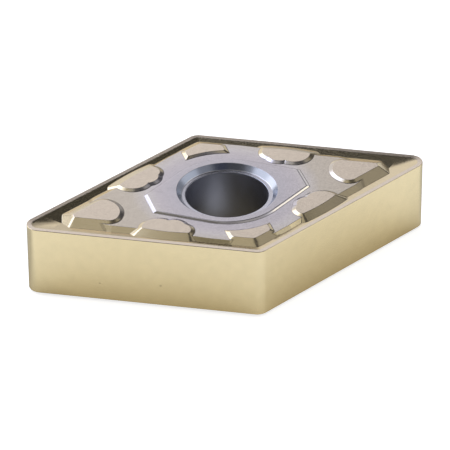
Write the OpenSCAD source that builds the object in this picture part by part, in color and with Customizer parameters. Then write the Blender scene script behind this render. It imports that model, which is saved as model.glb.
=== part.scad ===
// Double-sided rhombic turning insert, pressed and sintered in one piece.
// Both faces carry the same chip-breaker: a land behind the cutting edge, a groove,
// a plateau with eight seat bumps, and a seat boss round the countersunk bore.
// Long diagonal along X, short diagonal along Y. The origin is on the bore axis,
// in the plane of the lower seats.

/* [Blank] */
// Diameter of the inscribed circle
inscribed_d = 12.7; // [12.2:0.05:14]
// Included angle of the two acute corners, in degrees
acute_angle = 55; // [53:0.5:58]
// Height from the seats of one face to the cutting edge of the other
thickness = 4.76; // [3.5:0.01:7]
// Radius of the four corners
nose_r = 0.8; // [0.7:0.05:1]

/* [Bore] */
// Diameter of the straight bore
bore_d = 5.16; // [4.5:0.01:5.4]
// Diameter of the countersink in the seat plane
sink_d = 6.3; // [6:0.05:6.7]
// Depth of the countersink cone
sink_depth = 0.34; // [0.2:0.01:0.6]
// Radius that rolls over from the foot of the cone into the bore
bore_round = 0.25; // [0.1:0.01:0.3]

/* [Cutting edge and groove] */
// Width of the level strip right behind the cutting edge
edge_w = 0.04; // [0.02:0.01:0.1]
// Width of the land behind the cutting edge, with the level strip
land_w = 0.31; // [0.2:0.01:0.35]
// How far the land falls towards the groove
land_drop = 0.017; // [0.01:0.001:0.03]
// Width of the rake slope from the land down to the groove floor
rake_w = 0.48; // [0.3:0.01:0.48]
// Depth of the groove floor below the cutting edge
groove_depth = 0.115; // [0.08:0.005:0.15]

/* [Plateau] */
// Height of the plateau above the cutting edge
plateau_rise = 0.07; // [0.04:0.01:0.1]
// Distance from the cutting edge back to the plateau along the acute part of each edge
acute_gap = 1.25; // [1.1:0.01:1.4]
// Distance from the cutting edge back to the plateau beside the obtuse corners
obtuse_gap = 0.93; // [0.85:0.01:1.1]
// Where the acute gap is reached, from the middle of the inscribed circle
acute_gap_at = 5; // [4:0.1:6]
// Steepness of the plateau wall along the acute part of each edge, in degrees
acute_wall_slope = 24; // [20:1:40]
// Steepness of the plateau wall beside the obtuse corners, in degrees
obtuse_wall_slope = 34; // [24:1:45]
// Length of the plateau between its ends, which lie inside the nose bumps
plateau_l = 16.2; // [15.6:0.1:16.8]
// Width of the plateau between its ends, which lie inside the obtuse-corner bumps
plateau_w = 10.72; // [10.4:0.02:11]

/* [Seats] */
// Height of the bump tops and the boss above the cutting edge
seat_rise = 0.17; // [0.12:0.01:0.3]

/* [Boss] */
// Radius of the round sides of the boss
boss_r = 3.62; // [3.4:0.01:3.75]
// Length of the boss between its two flat ends
boss_l = 9.74; // [9:0.02:10.4]
// Angle between the straight sides of the boss and its length, in degrees
boss_side_turn = 35; // [30:1:40]
// Steepness of the sides, in degrees
boss_side_slope = 45; // [30:1:60]
// Steepness of the ends, in degrees
boss_end_slope = 26; // [20:1:45]

/* [Scalloped bumps] */
// Place of the crown along the edge, from the middle of the inscribed circle
scallop_at = 2.65; // [2.3:0.05:3]
// Distance from the cutting edge back to the crown
scallop_gap = 1.055; // [1:0.005:1.1]
// Radius of the long outer side
scallop_side_r = 9.7; // [7:0.1:12]
// Centre of each lobe along the edge from the crown, largest lobe first
lobe_at = [0.7, -0.17, -0.65]; // [-1:0.01:1]
// Centre of each lobe behind the crown
lobe_back = [0.325, 0.615, 0.365]; // [0.3:0.005:1]
// Radius of each lobe
lobe_r = [1.02, 0.76, 0.67]; // [0.5:0.01:1.2]
// Steepness of the outer side, in degrees
scallop_side_slope = 19.5; // [18:0.5:30]
// Steepness of the walls round the lobes, in degrees
lobe_slope = 22; // [18:1:35]

/* [Nose bumps] */
// Distance from the sharp acute corner to the tip of the bump
tip_back = 3.88; // [3.6:0.02:4.4]
// Length of the bump from its tip to its round inner end
nose_bump_l = 2.91; // [2.6:0.01:3.2]
// Distance from the cutting edge back to the straight sides
nose_side_gap = 1.65; // [1.5:0.01:1.7]
// Radius of the inner end
nose_end_r = 1.52; // [1.4:0.01:1.8]
// Radius between the inner end and the sides
nose_shoulder_r = 0.53; // [0.3:0.01:0.6]
// Radius of the two small corners at the tip
tip_r = 0.06; // [0.04:0.01:0.1]
// Steepness of the walls, in degrees
nose_slope = 21; // [18:1:30]

/* [Obtuse-corner bumps] */
// Width of the bump across its two ends
corner_bump_w = 2.5; // [2:0.05:3]
// Distance from the cutting edge back to the two outer sides
corner_side_gap = 1.24; // [1.1:0.01:1.3]
// Distance from the round side of the boss to the hollow inner side
corner_boss_gap = 1.02; // [0.9:0.01:1.1]
// Steepness of the outer sides, in degrees
corner_side_slope = 25; // [22:1:45]
// Steepness of the ends, in degrees
corner_end_slope = 17; // [15:1:35]
// Steepness of the hollow inner side, in degrees
corner_inner_slope = 23; // [18:1:45]

/* [Hidden] */

// How far the reliefs reach into the blank below the groove floor, so that they join it
root = 0.03;
// How far the cutting shapes stand proud of what they cut
proud = 0.05;
// How far the corner cylinders pass through the flanks, so that they cross and don't just touch
lap = 0.0002;
// Steps of the small arcs of an outline
arc_steps = 6;

edge_n = inscribed_d / 2;
half_angle = acute_angle / 2;
edge_turn = 90 - half_angle;
edge_h = thickness - seat_rise;
total_h = thickness + seat_rise;
corner_x = edge_n / sin(half_angle);
corner_y = edge_n / cos(half_angle);
relief_top = seat_rise;
relief_foot = -groove_depth - root;

// A point given by its place along the edge and its distance from the bore axis
// square to the edge, turned into X and Y in the first quadrant
function at_edge(u, n) =
    [u * sin(edge_turn) + n * cos(edge_turn), n * sin(edge_turn) - u * cos(edge_turn)];

function on_circle(c, r, a) = [c.x + r * cos(a), c.y + r * sin(a)];

// Points of an arc from one angle up to another, the last one left out if asked
function arc(c, r, a, b, steps, close = true) =
    [for (i = [0:steps - (close ? 0 : 1)]) on_circle(c, r, a + (b - a) * i / steps)];

// Points of the arc that runs anticlockwise from p, up to q but without it
function arc_between(c, r, p, q, steps) =
    let (a = atan2(p.y - c.y, p.x - c.x), b = atan2(q.y - c.y, q.x - c.x))
    arc(c, r, a, b > a ? b : b + 360, steps, false);

// Where two circles cross, on the right-hand side of the line from the first centre
function crossing(c1, r1, c2, r2) =
    let (d = norm(c2 - c1), along = (c2 - c1) / d, a = (r1 * r1 - r2 * r2 + d * d) / (2 * d))
    c1 + a * along + sqrt(r1 * r1 - a * a) * [along.y, -along.x];

// How far a wall runs out on its way down from the seats to a height
function run(height, slope) = (seat_rise - height) / tan(slope);

function reversed(points) = [for (i = [len(points) - 1:-1:0]) points[i]];
function flipped_x(points) = [for (p = reversed(points)) [-p.x, p.y]];
function flipped_y(points) = [for (p = reversed(points)) [p.x, -p.y]];

// Leaves out each point that is followed by the same point again
function without_twins(points) =
    [for (i = [0:len(points) - 1]) let (next = points[(i + 1) % len(points)])
        if (norm(points[i] - next) > 0.0001) points[i]];

// A closed outline from its quarter between the X and the Y axis
function from_quarter(quarter) =
    let (upper = concat(quarter, flipped_x(quarter)))
    without_twins(concat(upper, flipped_y(upper)));

// Starts an outline at its second point
function turned(points) = [for (i = [1:len(points)]) points[i % len(points)]];

// A solid through outlines of equal length, one above the other
module loft(outlines, heights) {
    count = len(outlines[0]);
    last = len(outlines) - 1;
    points = [for (k = [0:last]) for (p = outlines[k]) [p.x, p.y, heights[k]]];
    sides = [for (k = [0:last - 1]) for (i = [0:count - 1])
        let (low = k * count, high = low + count, j = (i + 1) % count)
        [low + i, high + i, high + j, low + j]];
    lid = [for (i = [0:count - 1]) last * count + (count - i) % count];
    polyhedron(points, concat(sides, [[for (i = [0:count - 1]) i], lid]));
}

// A bump whose outline is given for its foot and for its top
module relief(foot_outline, top_outline) {
    loft([foot_outline, top_outline], [relief_foot, relief_top]);
}

module four_ways() {
    for (x = [0, 1], y = [0, 1]) mirror([x, 0, 0]) mirror([0, y, 0]) children();
}

// The blank: a prism with its four corners rounded by true cylinders
module blank() {
    acute = [corner_x - nose_r / sin(half_angle), 0];
    obtuse = [0, corner_y - nose_r / cos(half_angle)];
    quarter = [on_circle(acute, nose_r, edge_turn), on_circle(obtuse, nose_r, edge_turn)];
    translate([0, 0, seat_rise]) linear_extrude(edge_h) {
        polygon(from_quarter(quarter));
        for (c = [acute, -acute, obtuse, -obtuse]) translate(c) circle(nose_r + lap, $fn = 64);
    }
}

// The rim outline moved inwards
function rim(inset) =
    let (r = nose_r - inset)
    from_quarter(concat(
        arc([corner_x - nose_r / sin(half_angle), 0], r, 0, edge_turn, arc_steps),
        arc([0, corner_y - nose_r / cos(half_angle)], r, edge_turn, 90, arc_steps)));

// What the groove takes out of a face, down to the groove floor
module groove_hollow() {
    over = edge_w - proud * (land_w - edge_w) / land_drop;
    loft([rim(land_w + rake_w), rim(land_w), rim(over)], [-groove_depth, -land_drop, proud]);
}

// The plateau, which draws back from the edge towards the acute corners.
// Its outline starts at a hollow corner, which has a clear view of all the other corners.
module plateau() {
    function outline(height) =
        let (acute_run = (plateau_rise - height) / tan(acute_wall_slope),
            obtuse_run = (plateau_rise - height) / tan(obtuse_wall_slope),
            acute_n = edge_n - acute_gap + acute_run,
            obtuse_n = edge_n - obtuse_gap + obtuse_run,
            x = plateau_l / 2 + acute_run,
            y = plateau_w / 2 + obtuse_run)
        turned(from_quarter([[x, (acute_n - x * sin(half_angle)) / cos(half_angle)],
            at_edge(acute_gap_at, acute_n), at_edge(0, obtuse_n),
            [(obtuse_n - y * cos(half_angle)) / sin(half_angle), y]]));
    // The plateau goes deeper than the bumps, so that their undersides share no plane
    low = relief_foot - root;
    loft([outline(low), outline(plateau_rise)], [low, plateau_rise]);
}

// The seat boss: a round pad drawn out to two flat ends along X
module boss() {
    side = 90 - boss_side_turn;
    function outline(height) =
        let (r = boss_r + run(height, boss_side_slope),
            end = boss_l / 2 + run(height, boss_end_slope),
            end_corner = [end, (r - end * cos(side)) / sin(side)])
        from_quarter(concat([end_corner], arc([0, 0], r, side, 90, 2 * arc_steps)));
    // The sides are steep, so the boss starts in the plateau and not below the groove
    low = plateau_rise - root;
    loft([outline(low), outline(relief_top)], [low, relief_top]);
}

// A bump with one long outer side and three lobes, which leave two notches between them
module scalloped_bump() {
    crown_n = edge_n - scallop_gap;
    side_c = [scallop_at, crown_n - scallop_side_r];
    lobe_c = [for (i = [0:2]) [scallop_at + lobe_at[i], crown_n - lobe_back[i]]];
    function outline(height) =
        let (side_r = scallop_side_r + run(height, scallop_side_slope),
            r = [for (i = [0:2]) lobe_r[i] + run(height, lobe_slope)],
            acute_end = crossing(side_c, side_r, lobe_c[0], r[0]),
            obtuse_end = crossing(lobe_c[2], r[2], side_c, side_r),
            first_notch = crossing(lobe_c[1], r[1], lobe_c[0], r[0]),
            last_notch = crossing(lobe_c[2], r[2], lobe_c[1], r[1]))
        [for (p = concat(
            arc_between(side_c, side_r, acute_end, obtuse_end, 8),
            arc_between(lobe_c[2], r[2], obtuse_end, last_notch, arc_steps),
            arc_between(lobe_c[1], r[1], last_notch, first_notch, arc_steps),
            arc_between(lobe_c[0], r[0], first_notch, acute_end, 10))) at_edge(p.x, p.y)];
    relief(outline(relief_foot), outline(relief_top));
}

// A bump that points at an acute corner, with a round inner end and a narrow cut-off tip
module nose_bump() {
    tip_x = corner_x - tip_back;
    side_n = edge_n - nose_side_gap;
    end_c = [tip_x - nose_bump_l + nose_end_r, 0];
    // The shoulder arc touches the inner end and the side
    shoulder_n = side_n - nose_shoulder_r;
    reach = nose_end_r - nose_shoulder_r;
    drop = shoulder_n - end_c.x * sin(half_angle);
    shoulder_c = at_edge(end_c.x * cos(half_angle) - sqrt(reach * reach - drop * drop), shoulder_n);
    shoulder_turn = atan2(shoulder_c.y - end_c.y, shoulder_c.x - end_c.x);
    tip_c = [tip_x - tip_r, (side_n - tip_r - (tip_x - tip_r) * sin(half_angle)) / cos(half_angle)];
    function outline(height) =
        let (out = run(height, nose_slope),
            half = concat(
                arc(tip_c, tip_r + out, 0, edge_turn, 3),
                arc(shoulder_c, nose_shoulder_r + out, edge_turn, shoulder_turn, arc_steps),
                arc(end_c, nose_end_r + out, shoulder_turn, 180, 4)))
        without_twins(concat(half, flipped_y(half)));
    relief(outline(relief_foot), outline(relief_top));
}

// A bump that fills an obtuse corner, with an inner side hollowed round the bore axis
module corner_bump() {
    side_n = edge_n - corner_side_gap;
    inner_r = boss_r + corner_boss_gap;
    function outline(height) =
        let (n = side_n + run(height, corner_side_slope),
            x = corner_bump_w / 2 + run(height, corner_end_slope),
            r = inner_r - run(height, corner_inner_slope),
            half = concat(
                arc([0, 0], r, 90, acos(x / r), 5),
                [[x, (n - x * sin(half_angle)) / cos(half_angle)], [0, n / cos(half_angle)]]))
        without_twins(concat(half, flipped_x(half)));
    relief(outline(relief_foot), outline(relief_top));
}

// Everything that stands up from the groove floor of one face
module face_relief() {
    plateau();
    boss();
    four_ways() scalloped_bump();
    for (x = [0, 1]) mirror([x, 0, 0]) nose_bump();
    for (y = [0, 1]) mirror([0, y, 0]) corner_bump();
}

// The half of the bore profile above the middle of the insert, to be revolved
module bore_profile() {
    cone_foot = total_h - sink_depth;
    cone_foot_r = bore_d / 2 + bore_round;
    rise_r = proud * (sink_d / 2 - cone_foot_r) / sink_depth;
    square([bore_d / 2, total_h]);
    polygon([[0, cone_foot], [cone_foot_r, cone_foot],
        [sink_d / 2 + rise_r, total_h + proud], [0, total_h + proud]]);
    difference() {
        translate([0, cone_foot - bore_round]) square([cone_foot_r, bore_round]);
        translate([cone_foot_r, cone_foot - bore_round]) circle(bore_round, $fn = 48);
    }
}

// The bore with a countersink at both faces
module bore() {
    rotate_extrude($fn = 128) {
        bore_profile();
        translate([0, total_h]) mirror([0, 1]) bore_profile();
    }
}

// Puts what is drawn above a cutting edge at z = 0 on both faces
module both_faces() {
    translate([0, 0, total_h - seat_rise]) children();
    translate([0, 0, seat_rise]) mirror([0, 0, 1]) children();
}

module insert() {
    color([0.80, 0.74, 0.56]) difference() {
        union() {
            difference() {
                blank();
                both_faces() groove_hollow();
            }
            both_faces() face_relief();
        }
        bore();
    }
}

insert();
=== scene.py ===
"""A double-sided rhombic turning insert of coated carbide, on a pale studio floor."""

import math

import bmesh
import bpy
import numpy as np
from mathutils.geometry import delaunay_2d_cdt
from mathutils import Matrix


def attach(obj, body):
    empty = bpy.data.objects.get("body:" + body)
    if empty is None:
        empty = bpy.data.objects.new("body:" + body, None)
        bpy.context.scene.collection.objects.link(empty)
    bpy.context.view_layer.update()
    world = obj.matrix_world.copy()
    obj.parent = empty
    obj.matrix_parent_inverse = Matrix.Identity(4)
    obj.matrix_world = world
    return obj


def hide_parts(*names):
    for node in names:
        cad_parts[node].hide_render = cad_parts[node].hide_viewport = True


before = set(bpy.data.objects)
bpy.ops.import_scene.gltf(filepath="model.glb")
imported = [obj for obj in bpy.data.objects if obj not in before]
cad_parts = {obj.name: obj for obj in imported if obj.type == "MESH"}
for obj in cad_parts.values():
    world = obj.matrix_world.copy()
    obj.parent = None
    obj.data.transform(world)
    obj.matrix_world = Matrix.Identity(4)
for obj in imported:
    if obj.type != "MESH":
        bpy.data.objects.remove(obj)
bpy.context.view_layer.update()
scene = bpy.context.scene

# The insert: one piece of cemented carbide, pressed with its chip-breaker in
# both faces, sintered, ground on its flanks and bump tops, and coated.
# An eighth of it is built, in millimetres, and mirrored in its three planes.
MM = 0.001
INSCRIBED_D = 12.7
HALF_ANGLE = math.radians(55 / 2)
NOSE_R = 0.8
# From a seat to the far cutting edge
THICKNESS = 4.76
HONE = 0.04
# Heights over the plane of the cutting edges: the seats, and the plateau round the boss
SEAT = 0.17
RISE = 0.07
BORE_R = 2.58
SINK_R = 3.15
SINK_DEPTH = 0.34
SHELF_W = 0.25

SIN, COS = math.sin(HALF_ANGLE), math.cos(HALF_ANGLE)
EDGE = INSCRIBED_D / 2
ACUTE_X = EDGE / SIN
ACUTE_C = ACUTE_X - NOSE_R / SIN
OBTUSE_C = EDGE / COS - NOSE_R / COS
# The cutting edge and the seat, over the insert's middle plane
RIM_Z = (THICKNESS - SEAT) / 2
MID_Z = (THICKNESS + SEAT) / 2


def slope(degrees):
    return math.tan(math.radians(degrees))


def edge_frame(x, y):
    """A point by the cutting edge: how far along it, and how far out towards it."""
    return x * COS - y * SIN, x * SIN + y * COS


def gap_to_edge(x, y):
    """How far a point lies inside the cutting edge."""
    u, n = edge_frame(x, y)
    gap = np.where(u > ACUTE_C * COS, NOSE_R - np.hypot(x - ACUTE_C, y), EDGE - n)
    return np.where(u < -OBTUSE_C * SIN, NOSE_R - np.hypot(x, y - OBTUSE_C), gap)


# Each function below gives the heights that bound one feature, as [side][choice] over
# the plane of the cutting edges. The first side is the feature's top. A side is as high
# as its highest choice, and a feature as high as its lowest side.


def rim_and_rake(x, y):
    """The narrow land behind the cutting edge, and the rake slope that runs down from it."""
    land_w, land_slope, rake_slope = 0.31, 3.5, 11.5
    gap = gap_to_edge(x, y)
    land_foot = -land_w * slope(land_slope)
    return [[-gap * slope(land_slope)], [land_foot - (gap - land_w) * slope(rake_slope)]]


def plateau(x, y):
    """The plateau that carries the bumps: it narrows towards each nose and ends in a prow."""
    side_n, taper, taper_l = 5.42, 0.32, 5
    neck, neck_u, neck_l = 0.28, 6.2, 1.4
    steep, less_steep_by = 0.67, 0.23
    prow_x, back_y = 9.6, 5.36
    under_boss_r, under_boss_slope = 3.3, 9
    u, n = edge_frame(x, y)
    along = np.clip(u, 0, taper_l) / taper_l
    foot_n = side_n - taper * along - neck * np.clip((u - neck_u) / neck_l, 0, 1)
    return [[np.full_like(x, RISE)],
            [RISE - (n - foot_n) * (steep - less_steep_by * along)],
            [RISE - (x - prow_x) * slope(24)],
            [RISE - (y - back_y) * slope(34)],
            [(np.hypot(x, y) - under_boss_r) * under_boss_slope]]


def boss(x, y):
    """The flat boss round the bore, a seat: round in front, straight beside, blunt at its ends."""
    boss_r, boss_l = 3.62, 4.87
    side_x, side_y = math.cos(math.radians(55)), math.sin(math.radians(55))
    straight = x * side_x + y * side_y
    past = np.where(y * side_x > x * side_y, np.hypot(x, y), straight) - boss_r
    return [[np.full_like(x, SEAT)], [SEAT - past * slope(36)], [SEAT - (x - boss_l) * slope(26)]]


def scallop(x, y):
    """A bump on the middle of an edge: one long round outer side, three lobes on the inner one."""
    crown_u, crown_gap, crown_r = 2.65, 1.055, 9.7
    lobes = ((0.7, 0.325, 1.02), (-0.17, 0.615, 0.76), (-0.65, 0.365, 0.67))
    u, n = edge_frame(x, y)
    u, n = u - crown_u, n - EDGE + crown_gap
    outer = SEAT - (np.hypot(u, n + crown_r) - crown_r) * slope(19.5)
    inner = [SEAT - (np.hypot(u - du, n + back) - r) * slope(22) for du, back, r in lobes]
    return [[np.full_like(x, SEAT)], [outer], inner]


NOSE_BUMP_END = ACUTE_X - 3.88


def past_nose_bump(x, y):
    """How far a point lies outside the top outline of the bump at the acute corner."""
    length, side_gap, end_r, shoulder_r, tip_r = 2.91, 1.65, 1.52, 0.53, 0.06
    side_n = EDGE - side_gap
    end_x = NOSE_BUMP_END - length + end_r
    shoulder_n = side_n - shoulder_r
    shoulder_u = end_x * COS - math.sqrt((end_r - shoulder_r)**2 - (shoulder_n - end_x * SIN)**2)
    shoulder_x, shoulder_y = shoulder_u * COS + shoulder_n * SIN, shoulder_n * COS - shoulder_u * SIN
    tip_x = NOSE_BUMP_END - tip_r
    tip_y = (side_n - tip_r - tip_x * SIN) / COS
    u, n = edge_frame(x, y)
    round_tip = (u > tip_x * COS - tip_y * SIN) & (y > tip_y)
    straight = np.maximum(n - side_n, x - NOSE_BUMP_END)
    past = np.where(round_tip, np.hypot(x - tip_x, y - tip_y) - tip_r, straight)
    before = u < shoulder_u
    past = np.where(before, np.hypot(x - shoulder_x, y - shoulder_y) - shoulder_r, past)
    round_end = (x - shoulder_x) * shoulder_y < (y - shoulder_y) * (shoulder_x - end_x)
    return np.where(before & round_end, np.hypot(x - end_x, y) - end_r, past)


def nose_bump(x, y):
    """The long bump at an acute corner, with a blunt end towards the nose."""
    return [[np.full_like(x, SEAT)],
            [SEAT - past_nose_bump(x, y) * slope(21)],
            [SEAT - (x - NOSE_BUMP_END) * slope(30)]]


def corner_bump(x, y):
    """The small bump at an obtuse corner, hollowed where it faces the boss."""
    side_gap, half_l, hollow_r, ridge_r = 1.24, 1.22, 3.62 + 1.02, 0.12
    side_n = np.hypot(x, ridge_r) * SIN + y * COS
    return [[np.full_like(x, SEAT)],
            [SEAT - (side_n - EDGE + side_gap) * slope(25)],
            [SEAT - (x - half_l) * slope(24)],
            [SEAT - (hollow_r - np.hypot(x, y)) * slope(26)]]


# Each feature, with the rounding of its top edge and of the creases between its sides.
# A rounding is the difference of two heights at which it starts.
FEATURES = (
    (rim_and_rake, 0.006, 0.012),
    (plateau, 0.01, 0.012),
    (boss, 0.03, 0.012),
    (scallop, 0.008, 0.03),
    (nose_bump, 0.008, 0.04),
    (corner_bump, 0.008, 0.07),
)
PLATEAU, BOSS = 1, 2
FOOT_ROUND = 0.016


def rounded(a, b, size, pick):
    """The higher or the lower of two surfaces, with the crease between them rounded."""
    sign = 1 if pick is np.maximum else -1
    return pick(a, b) + sign * np.maximum(size - abs(a - b), 0)**2 / (4 * size)


def fold(layers, size, pick):
    whole = layers[0]
    for layer in layers[1:]:
        whole = rounded(whole, layer, size, pick)
    return whole


def height(x, y):
    """The height of the finished face: its highest feature, with all creases rounded."""
    finished = []
    for heights_of, edge_round, side_round in FEATURES:
        top, *sides = heights_of(x, y)
        walls = fold([fold(side, FOOT_ROUND, np.maximum) for side in sides], side_round, np.minimum)
        finished.append(rounded(top[0], walls, edge_round, np.minimum))
    return fold(finished, FOOT_ROUND, np.maximum)


def facing(x, y):
    """The direction square to the finished face."""
    step = 0.0004
    rise_x = (height(np.abs(x + step), y) - height(np.abs(x - step), y)) / (2 * step)
    rise_y = (height(x, np.abs(y + step)) - height(x, np.abs(y - step))) / (2 * step)
    way = np.stack([-rise_x, -rise_y, np.ones_like(x)], 1)
    return way / np.linalg.norm(way, axis=1)[:, None]


def in_crease(x, y):
    """How deep a point lies in the crease between two features or two lobes, from 0 to 1."""
    features = [heights_of(x, y) for heights_of, *_ in FEATURES]
    tops = [np.min([np.max(side, axis=0) for side in feature], axis=0) for feature in features]
    ordered = np.sort(tops, axis=0)
    apart = ordered[-1] - ordered[-2]
    for feature, top in zip(features, tops):
        for side in feature:
            if len(side) > 1:
                choices = np.sort(side, axis=0)
                hidden = choices[-1] - top + ordered[-1] - top
                apart = np.minimum(apart, choices[-1] - choices[-2] + hidden)
    return np.maximum(1 - apart / FOOT_ROUND, 0)


def surfaces(x, y):
    """Each surface, with its address and how far it lies from being the one that shows."""
    features = [heights_of(x, y) for heights_of, *_ in FEATURES]
    sides = [[np.max(side, axis=0) for side in feature] for feature in features]
    tops = [np.min(feature, axis=0) for feature in sides]
    face = np.max(tops, axis=0)
    return [((f, s, c), surface,
             np.maximum.reduce([sides[f][s] - surface, sides[f][s] - tops[f], face - tops[f]]))
            for f, feature in enumerate(features) for s, side in enumerate(feature)
            for c, surface in enumerate(side)]


def crease_size(a, b):
    """The rounding of the crease between two surfaces, from their addresses."""
    if a[:2] == b[:2] or a[0] != b[0]:
        return FOOT_ROUND
    _, edge_round, side_round = FEATURES[a[0]]
    return side_round if a[1] and b[1] else edge_round


# The net over the face: short straight pieces along both flanks of every crease.
# They are traced on a grid, finer near the mirror planes, the plateau's prow and the nose.
STEP = 0.16
X_ROWS = ((0, 0.32, STEP / 4), (0.32, 9.4, STEP), (9.4, 10.1, STEP / 4), (10.1, 12.9, STEP / 2))
Y_ROWS = ((0, 0.4, STEP / 4), (0.4, 7.2, STEP))
xs = np.concatenate([np.arange(*row) for row in X_ROWS])
ys = np.concatenate([np.arange(*row) for row in Y_ROWS])
grid_x, grid_y = np.meshgrid(xs, ys, indexing="ij")
index = np.arange(grid_x.size).reshape(grid_x.shape)
corners = [index[:-1, :-1], index[1:, :-1], index[1:, 1:], index[:-1, 1:]]
halves = ((0, 1, 2), (0, 2, 3))
triangles = np.concatenate([np.stack([corners[i].ravel() for i in half], 1) for half in halves])
flat_x, flat_y = grid_x.ravel(), grid_y.ravel()


def level_line(field):
    """Straight pieces of the line where a field is zero, one to a triangle of the grid."""
    value = field[triangles]
    cut = triangles[(value.min(axis=1) < 0) & (value.max(axis=1) >= 0)]
    ends = []
    for i, j in ((0, 1), (1, 2), (2, 0)):
        a, b = cut[:, i], cut[:, j]
        crossed = (field[a] < 0) != (field[b] < 0)
        step = np.where(crossed, field[a] / np.where(crossed, field[a] - field[b], 1), np.nan)
        ends.append(np.stack([flat_x[a] + step * (flat_x[b] - flat_x[a]),
                              flat_y[a] + step * (flat_y[b] - flat_y[a])], 1))
    ends = np.stack(ends, 1)
    return ends[~np.isnan(ends[:, :, 0])].reshape(-1, 2, 2)


# A crease is followed where it shows, with more lines across a wider rounding
NEARLY_SHOWS = 0.12
SMALL_ROUND = 0.009
LINES_ACROSS_SMALL = (-1.5, -1, 1, 1.5)
LINES_ACROSS = (-1.5, -1, -0.33, 0.33, 1, 1.5)
REACH = 1.6
segments = []
on_grid = surfaces(flat_x, flat_y)
for i, (here, surface_a, hidden_a) in enumerate(on_grid):
    for j, (there, surface_b, hidden_b) in enumerate(on_grid[:i]):
        if not ((hidden_a < NEARLY_SHOWS) & (hidden_b < NEARLY_SHOWS)).any():
            continue
        size = crease_size(here, there)
        for level in LINES_ACROSS_SMALL if size < SMALL_ROUND else LINES_ACROSS:
            pieces = level_line(surface_a - surface_b - level * size)
            if not len(pieces):
                continue
            middle = pieces.mean(axis=1)
            at_middle = surfaces(middle[:, 0], middle[:, 1])
            shows = (at_middle[i][2] < REACH * size) & (at_middle[j][2] < REACH * size)
            segments.append(pieces[shows])
segments = np.concatenate(segments)


def arc(cx, cy, r, start, stop, count):
    return [(cx + r * math.cos(a), cy + r * math.sin(a)) for a in np.linspace(start, stop, count)]


# The outline of the quarter: along the hone, and round the hole left for the countersink
HOLE_R = 3.32
# A point nearer than SNAP to a mirror plane goes on to it, and points nearer than MERGE are one
SNAP, MERGE = 0.002, 0.0008
NOSE_POINTS, OBTUSE_POINTS, EDGE_POINTS, HOLE_POINTS = 13, 7, 70, 46
turn = math.pi / 2 - HALF_ANGLE
nose_arc = arc(ACUTE_C, 0, NOSE_R - HONE, 0, turn, NOSE_POINTS)
obtuse_arc = arc(0, OBTUSE_C, NOSE_R - HONE, turn, math.pi / 2, OBTUSE_POINTS)
straight = [tuple(p) for p in np.linspace(nose_arc[-1], obtuse_arc[0], EDGE_POINTS)[1:-1]]
rim_points = nose_arc + straight + obtuse_arc
hole_points = arc(0, 0, HOLE_R, math.pi / 2, 0, HOLE_POINTS)
outline = rim_points + hole_points
count = len(outline)
points = outline + [tuple(p) for p in segments.reshape(-1, 2)]
edges = [(i, (i + 1) % count) for i in range(count)]
edges += [(count + 2 * i, count + 2 * i + 1) for i in range(len(segments))]
net, _, net_faces, *_ = delaunay_2d_cdt(points, edges, [], 0, MERGE)
net = np.array([tuple(p) for p in net])
net[abs(net) < SNAP] = 0
net_faces = np.array([tuple(f) for f in net_faces])
centre_x, centre_y = net[net_faces].mean(axis=1).T
inside = (gap_to_edge(centre_x, centre_y) > HONE) & (np.hypot(centre_x, centre_y) > HOLE_R)
net_faces = net_faces[inside & (centre_x > 0) & (centre_y > 0)]

# The eighth, in metres over the middle plane: the face first.
# Its layers say where the coating differs, where the creases get painted shade, and which way the face
# looks.
eighth = bmesh.new()
flank, ground, pressed, crease = [
    eighth.verts.layers.float.new(name) for name in ("flank", "ground", "pressed", "crease")]
square_to = eighth.verts.layers.float_vector.new("square_to")
net_x, net_y = net.T
face_verts = [eighth.verts.new((x * MM, y * MM, (RIM_Z + z) * MM))
              for x, y, z in zip(net_x, net_y, height(net_x, net_y))]
for vert, way, depth in zip(face_verts, facing(net_x, net_y), in_crease(net_x, net_y)):
    vert[square_to] = way
    vert[crease] = depth
for triangle in net_faces:
    eighth.faces.new([face_verts[i] for i in triangle])


def border(line):
    """The vertices of the face that stand on a line of the outline."""
    return [face_verts[int(np.argmin(np.hypot(*(net - point).T)))] for point in line]


def carry_on(line, rows):
    """Carries a line of vertices on, row after row."""
    for row in rows:
        after = [eighth.verts.new(place) for place in row]
        for a, b, c, d in zip(line, line[1:], after[1:], after):
            eighth.faces.new((d, c, b, a))
        line = after


def outward(x, y):
    """The direction square to the cutting edge."""
    u = x * COS - y * SIN
    way = (x - ACUTE_C, y) if u > ACUTE_C * COS else (SIN, COS)
    if u < -OBTUSE_C * SIN:
        way = (x, y - OBTUSE_C)
    return way[0] / math.hypot(*way), way[1] / math.hypot(*way)


# The honed edge and the ground flank, down to the middle plane.
# A row just below the hone keeps the flank flat.
FLANK_ROW = 0.03
rim_rows = [(HONE * math.sin(angle), RIM_Z - HONE * (1 - math.cos(angle)))
            for angle in np.radians((22.5, 45, 67.5, 90))]
rim_rows += [(HONE, RIM_Z - HONE - FLANK_ROW), (HONE, RIM_Z / 2), (HONE, 0)]
rim_ways = [outward(x, y) for x, y in rim_points]
carry_on(border(rim_points), [
    [((x + out * way_x) * MM, (y + out * way_y) * MM, z * MM)
     for (x, y), (way_x, way_y) in zip(rim_points, rim_ways)]
    for out, z in rim_rows])


def corner_arc(before, corner, after, size):
    """A small round between two straight parts of a profile."""
    before, corner, after = map(np.array, (before, corner, after))
    start = corner + (before - corner) * size / np.linalg.norm(before - corner)
    stop = corner + (after - corner) * size / np.linalg.norm(after - corner)
    return [tuple(start * (1 - t)**2 + corner * 2 * t * (1 - t) + stop * t**2)
            for t in (0, 0.33, 0.67, 1)]


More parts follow.
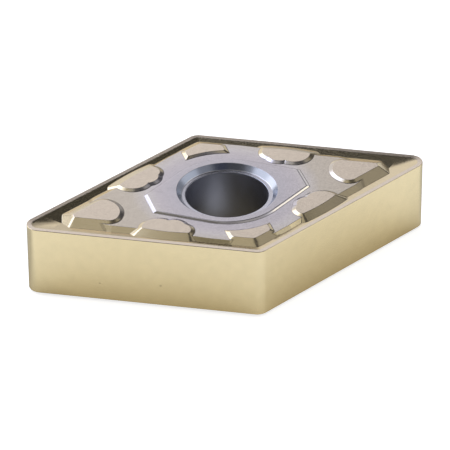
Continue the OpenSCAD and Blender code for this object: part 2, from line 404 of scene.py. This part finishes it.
# The countersink, the shelf at its foot and the bore, turned about the axis.
# A row beside each small round keeps what lies between the rounds flat.
SHELF_FALL, SHELF_SLOPE = 0.012, 0.05
SINK_ROUND, SHELF_ROUND, BORE_ROUND = 0.014, 0.02, 0.04
SINK_ROW, SHELF_ROW, RIM_ROW, BORE_ROW = 0.03, 0.04, 0.08, 0.1
cone_top, cone_foot = (SINK_R, MID_Z), (BORE_R + SHELF_W, MID_Z - SINK_DEPTH)
bore_top = (BORE_R, MID_Z - SINK_DEPTH - SHELF_FALL)
cone_slope = SINK_DEPTH / (SINK_R - cone_foot[0])
profile = [(SINK_R + SINK_ROW, MID_Z)]
profile += corner_arc((HOLE_R, MID_Z), cone_top, cone_foot, SINK_ROUND)
profile += [(SINK_R - SINK_ROW, MID_Z - SINK_ROW * cone_slope)]
profile += [(cone_foot[0] + SHELF_ROW, cone_foot[1] + SHELF_ROW * cone_slope)]
profile += corner_arc(cone_top, cone_foot, bore_top, SHELF_ROUND)
profile += [(cone_foot[0] - SHELF_ROW, cone_foot[1] - SHELF_ROW * SHELF_SLOPE)]
profile += [(BORE_R + RIM_ROW, bore_top[1] + RIM_ROW * SHELF_SLOPE)]
profile += corner_arc(cone_foot, bore_top, (BORE_R, 0), BORE_ROUND)
profile += [(BORE_R, bore_top[1] - BORE_ROW), (BORE_R, MID_Z / 2), (BORE_R, 0)]
hole_ways = [(x / HOLE_R, y / HOLE_R) for x, y in hole_points]
carry_on(border(hole_points), [
    [(r * way_x * MM, r * way_y * MM, z * MM) for way_x, way_y in hole_ways] for r, z in profile])

bmesh.ops.delete(eighth, geom=[v for v in eighth.verts if not v.link_faces], context="VERTS")
for vert in eighth.verts:
    for axis in (0, 1):
        if abs(vert.co[axis]) < SNAP * MM:
            vert.co[axis] = 0
for face in eighth.faces:
    face.smooth = True

# Where each finish lies: the flank's from the middle of the hone down, and those of the
# ground tops and the pressed walls where they show. A wall's gold fades between two gaps
# to the cutting edge.
GOLD_GAP, GREY_GAP = 1.8, 2.2
TRACE = 1e-9
for vert in eighth.verts:
    x, y, z = [along / MM for along in vert.co]
    deep = 3 * (RIM_Z - z) / HONE
    vert[flank] = min(max(deep, 0), 1) if gap_to_edge(x, y) < HONE / 2 else 0
for (feature, side, _), _, hidden in surfaces(net_x, net_y):
    if feature != BOSS and (side or feature != PLATEAU):
        for i in np.flatnonzero(hidden < TRACE):
            if face_verts[i].is_valid:
                gold = (GREY_GAP - gap_to_edge(*net[i])) / (GREY_GAP - GOLD_GAP) if side else 1
                face_verts[i][pressed if side else ground] = min(max(gold, 0), 1)
insert_mesh = bpy.data.meshes.new("insert_eighth")
eighth.to_mesh(insert_mesh)
eighth.free()
insert = bpy.data.objects.new("carbide_insert", insert_mesh)
scene.collection.objects.link(insert)

# The coating: gold on the flanks and noses, lilac grey round the bore, slate in the bore
coating = bpy.data.materials.new("coated_carbide")
coating.use_nodes = True
shader = coating.node_tree.nodes["Principled BSDF"]


def node(tree, kind, inputs=(), **settings):
    """A new node of a tree, with its settings, and its inputs by name or number."""
    made = tree.nodes.new(kind)
    for name, value in settings.items():
        setattr(made, name, value)
    for name, value in dict(inputs).items():
        if isinstance(value, bpy.types.NodeSocket):
            tree.links.new(value, made.inputs[name])
        else:
            made.inputs[name].default_value = value
    return made


def maths(tree, operation, *values):
    return node(tree, "ShaderNodeMath", enumerate(values), operation=operation).outputs[0]


def colour_mix(tree, share, a, b, blend="MIX"):
    mix = node(tree, "ShaderNodeMix", {0: share, 6: a, 7: b}, data_type="RGBA", blend_type=blend)
    return mix.outputs[2]


def tint_ramp(tree, along, stops, interpolation):
    """A row of tints, each at its own place along a line."""
    ramp = node(tree, "ShaderNodeValToRGB", {"Fac": along})
    ramp.color_ramp.interpolation = interpolation
    while len(ramp.color_ramp.elements) < len(stops):
        ramp.color_ramp.elements.new(0.5)
    for element, (start, tint) in zip(ramp.color_ramp.elements, stops):
        element.position = start
        element.color = (*tint, 1)
    return ramp.outputs["Color"]


# The tints of the pressed face and the hole, by the distance from the axis, as a share
# of FULL_R. The bore's wall and its rounded rim end at BORE_WALL_R.
FULL_R = 12
BORE_WALL_R = BORE_R + 0.02
FACE_TINTS = (
    (0.27, (0.60, 0.575, 0.62)),
    (0.36, (0.64, 0.60, 0.63)),
    (0.41, (0.70, 0.66, 0.66)),
    (0.49, (0.66, 0.60, 0.52)),
    (0.85, (0.66, 0.58, 0.48)),
)
HOLE_TINTS = (
    (0, (0.40, 0.41, 0.47)),
    (BORE_WALL_R / FULL_R, (0.60, 0.60, 0.66)),
    ((BORE_R + SHELF_W) / FULL_R, (0.42, 0.45, 0.53)),
)
# How far the tints of the face wander
DRIFT = 0.9
tree = coating.node_tree
place = node(tree, "ShaderNodeTexCoord").outputs["Object"]
in_plan = node(tree, "ShaderNodeVectorMath", {
    0: place, 1: (1, 1, 0)}, operation="MULTIPLY").outputs[0]
radius = node(tree, "ShaderNodeVectorMath", {0: in_plan}, operation="LENGTH").outputs["Value"]
clouds = node(tree, "ShaderNodeTexNoise", {"Vector": place, "Scale": 350, "Detail": 3}).outputs["Fac"]
drift = maths(tree, "MULTIPLY", maths(tree, "SUBTRACT", clouds, 0.5), DRIFT * MM)
ring = maths(tree, "DIVIDE", maths(tree, "ADD", radius, drift), FULL_R * MM)
face_tint = tint_ramp(tree, ring, FACE_TINTS, "LINEAR")
hole_tint = tint_ramp(tree, maths(tree, "DIVIDE", radius, FULL_R * MM), HOLE_TINTS, "CONSTANT")
in_hole = maths(tree, "LESS_THAN", radius, SINK_R * MM)
colour = colour_mix(tree, in_hole, face_tint, hole_tint)

# The other finishes over it, each where its layer says, and painted shade that darkens the creases
GOLD_WALL = (0.76, 0.64, 0.42, 1)
GROUND_TOP = (0.77, 0.67, 0.555, 1)
GOLD_FLANK = (0.93, 0.77, 0.46, 1)
CREASE_SHADE_COLOUR = (0.12, 0.10, 0.08, 1)
CREASE_STRENGTH = 0.45
for layer, finish in (("pressed", GOLD_WALL), ("ground", GROUND_TOP), ("flank", GOLD_FLANK)):
    share = node(tree, "ShaderNodeAttribute", attribute_name=layer).outputs["Fac"]
    colour = colour_mix(tree, share, colour, finish)
# Painted shade: the colour darkens towards the bottom of each crease between features or lobes
painted_crease_shade = node(tree, "ShaderNodeAttribute", attribute_name="crease").outputs["Fac"]
colour = colour_mix(tree, maths(tree, "MULTIPLY", painted_crease_shade, CREASE_STRENGTH), colour, CREASE_SHADE_COLOUR)

# A faint mottle, and a few small brown pits
PIT_BROWN = (0.25, 0.2, 0.12, 1)
PIT_SHARE, PIT_SIZE, PIT_STRENGTH = 0.1, 0.06, 0.35
mottle = node(tree, "ShaderNodeTexNoise", {"Vector": place, "Scale": 1500, "Detail": 4}).outputs["Fac"]
shade = node(tree, "ShaderNodeMapRange", {
    "Value": mottle, "From Min": 0.3, "From Max": 0.7, "To Min": 0.98, "To Max": 1.02}).outputs[0]
grey = node(tree, "ShaderNodeCombineColor", {0: shade, 1: shade, 2: shade}).outputs[0]
colour = colour_mix(tree, 1.0, colour, grey, "MULTIPLY")
pit = node(tree, "ShaderNodeTexVoronoi", {"Vector": place, "Scale": 900})
chance = node(tree, "ShaderNodeSeparateColor", {0: pit.outputs["Color"]}).outputs[0]
chosen = maths(tree, "GREATER_THAN", chance, 1 - PIT_SHARE)
speck = maths(tree, "MULTIPLY", chosen, maths(tree, "LESS_THAN", pit.outputs["Distance"], PIT_SIZE))
colour = colour_mix(tree, maths(tree, "MULTIPLY", speck, PIT_STRENGTH), colour, PIT_BROWN)
tree.links.new(colour, shader.inputs["Base Color"])
shader.inputs["Metallic"].default_value = 1.0

# The satin of the coating, with its fine grain, and the rougher wall of the bore
ROUGHNESS, BORE_ADDS, GRAIN_ADDS = 0.11, 0.2, 0.18
grain = node(tree, "ShaderNodeTexNoise", {"Vector": place, "Scale": 9000, "Detail": 3}).outputs["Fac"]
in_bore = maths(tree, "LESS_THAN", radius, BORE_WALL_R * MM)
satin = maths(tree, "MULTIPLY_ADD", in_bore, BORE_ADDS, ROUGHNESS)
rough = maths(tree, "MULTIPLY_ADD", grain, GRAIN_ADDS, satin)
tree.links.new(rough, shader.inputs["Roughness"])
bump = node(tree, "ShaderNodeBump", {"Height": grain, "Strength": 0.35, "Distance": 0.003 * MM})
tree.links.new(bump.outputs[0], shader.inputs["Normal"])

# The eighth is mirrored in its three planes and lifted on to its lower seats
WELD = 0.0002
mirror = bpy.data.node_groups.new("mirror_in_three_planes", "GeometryNodeTree")
mirror.is_modifier = True
sockets = {name: mirror.interface.new_socket(name, in_out="INPUT", socket_type=kind)
           for name, kind in (("Eighth", "NodeSocketGeometry"), ("Half thickness", "NodeSocketFloat"),
                              ("Weld distance", "NodeSocketFloat"), ("Coating", "NodeSocketMaterial"))}
mirror.interface.new_socket("Insert", in_out="OUTPUT", socket_type="NodeSocketGeometry")
given = mirror.nodes.new("NodeGroupInput").outputs
shape = given["Eighth"]
for scale in ((-1, 1, 1), (1, -1, 1), (1, 1, -1)):
    other = node(mirror, "GeometryNodeTransform", {"Geometry": shape, "Scale": scale}).outputs[0]
    other = node(mirror, "GeometryNodeFlipFaces", {"Mesh": other}).outputs[0]
    join = mirror.nodes.new("GeometryNodeJoinGeometry")
    mirror.links.new(other, join.inputs[0])
    mirror.links.new(shape, join.inputs[0])
    shape = join.outputs[0]
shape = node(mirror, "GeometryNodeMergeByDistance", {
    "Geometry": shape, "Distance": given["Weld distance"]}).outputs[0]
lift = node(mirror, "ShaderNodeCombineXYZ", {"Z": given["Half thickness"]}).outputs[0]
shape = node(mirror, "GeometryNodeTransform", {"Geometry": shape, "Translation": lift}).outputs[0]
shape = node(mirror, "GeometryNodeRealizeInstances", {"Geometry": shape}).outputs[0]
shape = node(mirror, "GeometryNodeSetMaterial", {
    "Geometry": shape, "Material": given["Coating"]}).outputs[0]
node(mirror, "NodeGroupOutput", {"Insert": shape})
modifier = insert.modifiers.new("Mirror in three planes", "NODES")
modifier.node_group = mirror
modifier[sockets["Half thickness"].identifier] = MID_Z * MM
modifier[sockets["Weld distance"].identifier] = WELD * MM
modifier[sockets["Coating"].identifier] = coating
evaluated = insert.evaluated_get(bpy.context.evaluated_depsgraph_get())
whole = bpy.data.meshes.new_from_object(evaluated)
insert.modifiers.clear()
insert.data = whole

# The face is shaded with the exact directions of the eighth, mirrored to each side.
# What is nearer than ON_PLANE to a mirror plane stands square to it.
ON_PLANE = 0.001
ways = np.empty(len(whole.vertices) * 3)
whole.attributes["square_to"].data.foreach_get("vector", ways)
spots = np.empty(len(whole.vertices) * 3)
whole.vertices.foreach_get("co", spots)
ways, spots = ways.reshape(-1, 3), spots.reshape(-1, 3) - (0, 0, MID_Z * MM)
ways *= np.where(np.abs(spots) < ON_PLANE * MM, 0, np.sign(spots))
whole.normals_split_custom_set_from_vertices(ways)
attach(insert, "root")
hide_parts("insert")

# The studio floor: a wide sheet of pale paper that keeps the insert's soft shadow.
# It lies a hundredth of a millimetre low, so that it never coincides with the seats.
FLOOR_R = 3
FLOOR_DROP = 0.01
bpy.ops.mesh.primitive_circle_add(
    vertices=64, radius=FLOOR_R, fill_type="NGON", location=(0, 0, -FLOOR_DROP * MM))
studio_floor = bpy.context.object
studio_floor.name = "studio_floor"
paper = bpy.data.materials.new("pale_paper")
paper.use_nodes = True
tree = paper.node_tree
tree.nodes.clear()

# What the metal mirrors of it: paper with painted shade, darker close to the insert and warmer there
# with painted light thrown back by its gold, darker still behind each nose, and a painted pool of light
# in one spot under the bore
SHADE_REACH = 12
SHADE_POWER, OPEN_LIGHT = 1.3, 0.9
NEAR_WARM = (1, 0.79, 0.32, 1)
OPEN_COOL = (0.98, 1.03, 1.12, 1)
BEHIND_DIM = 0.42
SPOT_PLACE = (1.2, -1.5, 0)
SPOT_BLUE = (0.9, 0.93, 1, 1)
# Painted shade: the mirrored paper darkens where little of the sky reaches it
open_sky = node(tree, "ShaderNodeAmbientOcclusion", {
    "Distance": SHADE_REACH * MM}, samples=8).outputs["AO"]
shaded = maths(tree, "MULTIPLY", maths(tree, "POWER", open_sky, SHADE_POWER), OPEN_LIGHT)
point = node(tree, "ShaderNodeNewGeometry").outputs["Position"]
across = node(tree, "ShaderNodeSeparateXYZ", {0: point}).outputs
# Painted shade: the mirrored paper is darker behind each nose
beside = node(tree, "ShaderNodeMapRange", {
    "Value": maths(tree, "ABSOLUTE", across["X"]), "From Min": 9 * MM, "From Max": 11 * MM}).outputs[0]
behind = node(tree, "ShaderNodeMapRange", {
    "Value": across["Y"], "From Min": -2.5 * MM, "From Max": 1.5 * MM, "To Max": BEHIND_DIM}).outputs[0]
dimmed = maths(tree, "SUBTRACT", 1, maths(tree, "MULTIPLY", beside, behind))
shaded = maths(tree, "MULTIPLY", shaded, dimmed)
# Painted bounce light: the mirrored paper turns warm close to the gold insert
warmth = colour_mix(tree, open_sky, NEAR_WARM, OPEN_COOL)
shaded = node(tree, "ShaderNodeEmission", {"Color": warmth, "Strength": shaded}).outputs[0]
# A painted pool of light: the mirrored paper is lighter in one spot under the bore
away = node(tree, "ShaderNodeVectorMath", {
    0: point, 1: [along * MM for along in SPOT_PLACE]}, operation="DISTANCE").outputs["Value"]
spot = node(tree, "ShaderNodeMapRange", {
    "Value": away, "From Min": 1.9 * MM, "From Max": 0.6 * MM}).outputs[0]
spot = node(tree, "ShaderNodeEmission", {"Color": SPOT_BLUE, "Strength": spot}).outputs[0]
mirrored = node(tree, "ShaderNodeAddShader", {0: shaded, 1: spot}).outputs[0]

# What the camera sees: the paper itself with its shadow, lifted towards white
PAPER = (0.95, 0.95, 0.95, 1)
PAPER_LIFT = 0.75
ray = node(tree, "ShaderNodeLightPath").outputs
sheet = node(tree, "ShaderNodeBsdfDiffuse", {"Color": PAPER}).outputs[0]
lift = maths(tree, "MULTIPLY", ray["Is Camera Ray"], PAPER_LIFT)
white = node(tree, "ShaderNodeEmission", {"Color": (1, 1, 1, 1), "Strength": lift}).outputs[0]
seen = node(tree, "ShaderNodeAddShader", {0: sheet, 1: white}).outputs[0]
surface = node(tree, "ShaderNodeMixShader", {
    0: ray["Is Glossy Ray"], 1: seen, 2: mirrored}).outputs[0]
node(tree, "ShaderNodeOutputMaterial", {"Surface": surface})
studio_floor.data.materials.append(paper)

# The light tent: pale cloth walls with bright windows, and dark openings round the insert.
# Each is a soft round patch, which the polished metal mirrors in one set of its faces.
scene.view_settings.view_transform = "Standard"
tent = bpy.data.worlds.new("light_tent")
scene.world = tent
tent.use_nodes = True
tree = tent.node_tree
tree.nodes.clear()
TENT_CLOTH = (0.36, 0.36, 0.38, 1)
# Name, compass angle from the back towards the right, height, inner and outer radius,
# all in degrees, and colour. A later patch lies over an earlier one.
PATCHES = (
    ("ceiling", 0, 90, 20, 45, (0.48, 0.47, 0.43)),
    ("back wall, low", 6, 3, 8, 14, (0.85, 0.84, 0.87)),
    ("back wall", 2, 26, 16, 21, (0.88, 0.87, 0.90)),
    ("dark opening, right", 47, 30, 9, 15, (0.07, 0.07, 0.08)),
    ("dark opening, back", 24, 52, 13, 17, (0.04, 0.04, 0.04)),
    ("dark opening, above", 52, 70, 8, 14, (0.07, 0.07, 0.08)),
    ("dark opening, front", -168, 52, 14, 30, (0.07, 0.075, 0.10)),
    ("glow, back left", -22, 46, 13, 19, (2.0, 2.15, 2.7)),
    ("side wall, left", -70, 33, 13, 24, (1.35, 1.37, 1.45)),
    ("window, left", -41, 15, 13, 20, (2.0, 2.0, 2.05)),
    ("side wall, right", 95, 28, 16, 26, (0.85, 0.87, 0.90)),
    ("window, right", 82, 38, 4.5, 7.5, (2.0, 1.9, 1.5)),
    ("dark opening, front left", -138, 42, 16, 24, (0.10, 0.10, 0.10)),
    ("dark opening, above left", -106, 69, 7, 12, (0.17, 0.165, 0.135)),
    ("glow, low right", 36, 6, 3, 7, (0.9, 0.9, 0.9)),
)
direction = node(tree, "ShaderNodeTexCoord").outputs["Generated"]
light = TENT_CLOTH
for _, compass, up, inner, outer, colour in PATCHES:
    compass, up, inner, outer = [math.radians(angle) for angle in (compass, up, inner, outer)]
    centre = (math.sin(compass) * math.cos(up), math.cos(compass) * math.cos(up), math.sin(up))
    near = node(tree, "ShaderNodeVectorMath", {
        0: direction, 1: centre}, operation="DOT_PRODUCT").outputs["Value"]
    share = node(tree, "ShaderNodeMapRange", {
        "Value": near, "From Min": math.cos(outer), "From Max": math.cos(inner),
    }, interpolation_type="SMOOTHSTEP").outputs[0]
    light = colour_mix(tree, share, light, (*colour, 1))
glowing = node(tree, "ShaderNodeBackground", {"Color": light}).outputs[0]
node(tree, "ShaderNodeOutputWorld", {"Surface": glowing})

# The camera: a long lens in front of the insert, to the left of it and high up.
# Its place, direction and angle were fitted to the insert's straight edges.
camera = bpy.data.objects.new("camera", bpy.data.cameras.new("camera"))
camera.location = (-54.36 * MM, -181.326 * MM, 125.826 * MM)
camera.rotation_euler = [math.radians(angle) for angle in (56.8776, 0.3179, -16.8516)]
camera.data.lens = 289.5
camera.data.sensor_width = 36
camera.data.clip_start = 0.01
scene.collection.objects.link(camera)
scene.camera = camera
